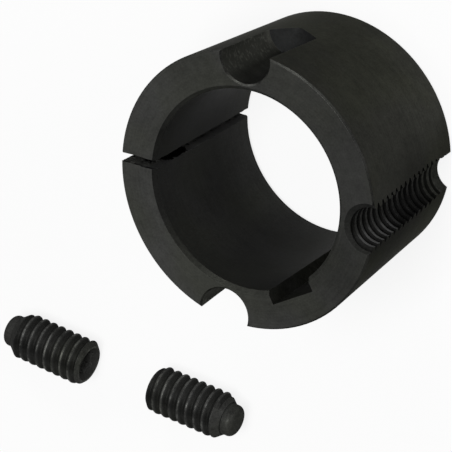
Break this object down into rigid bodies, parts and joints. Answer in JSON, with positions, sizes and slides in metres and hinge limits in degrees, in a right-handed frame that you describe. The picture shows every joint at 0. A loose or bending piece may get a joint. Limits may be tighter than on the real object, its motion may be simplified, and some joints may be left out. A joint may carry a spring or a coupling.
{
  "type": "taper bush",
  "caption": "Split tapered bush with a keyed through bore, half holes for set screws round its large end, and its socket set screws lying beside it.",
  "frame": {"origin": "on the bore axis, at the small end face, which rests on the table", "axes": "+Z along the bore from the small end to the large end; +X through the threaded half hole, opposite the slit"},
  "size_m": [0.0625, 0.0626, 0.0222],
  "materials": {
    "bush": "black oxide, satin",
    "screws": "black oxide, satin"
  },
  "bodies": {
    "root": {"bush": "bush", "screw_a": "screws", "screw_b": "screws"}
  },
  "joints": []
}
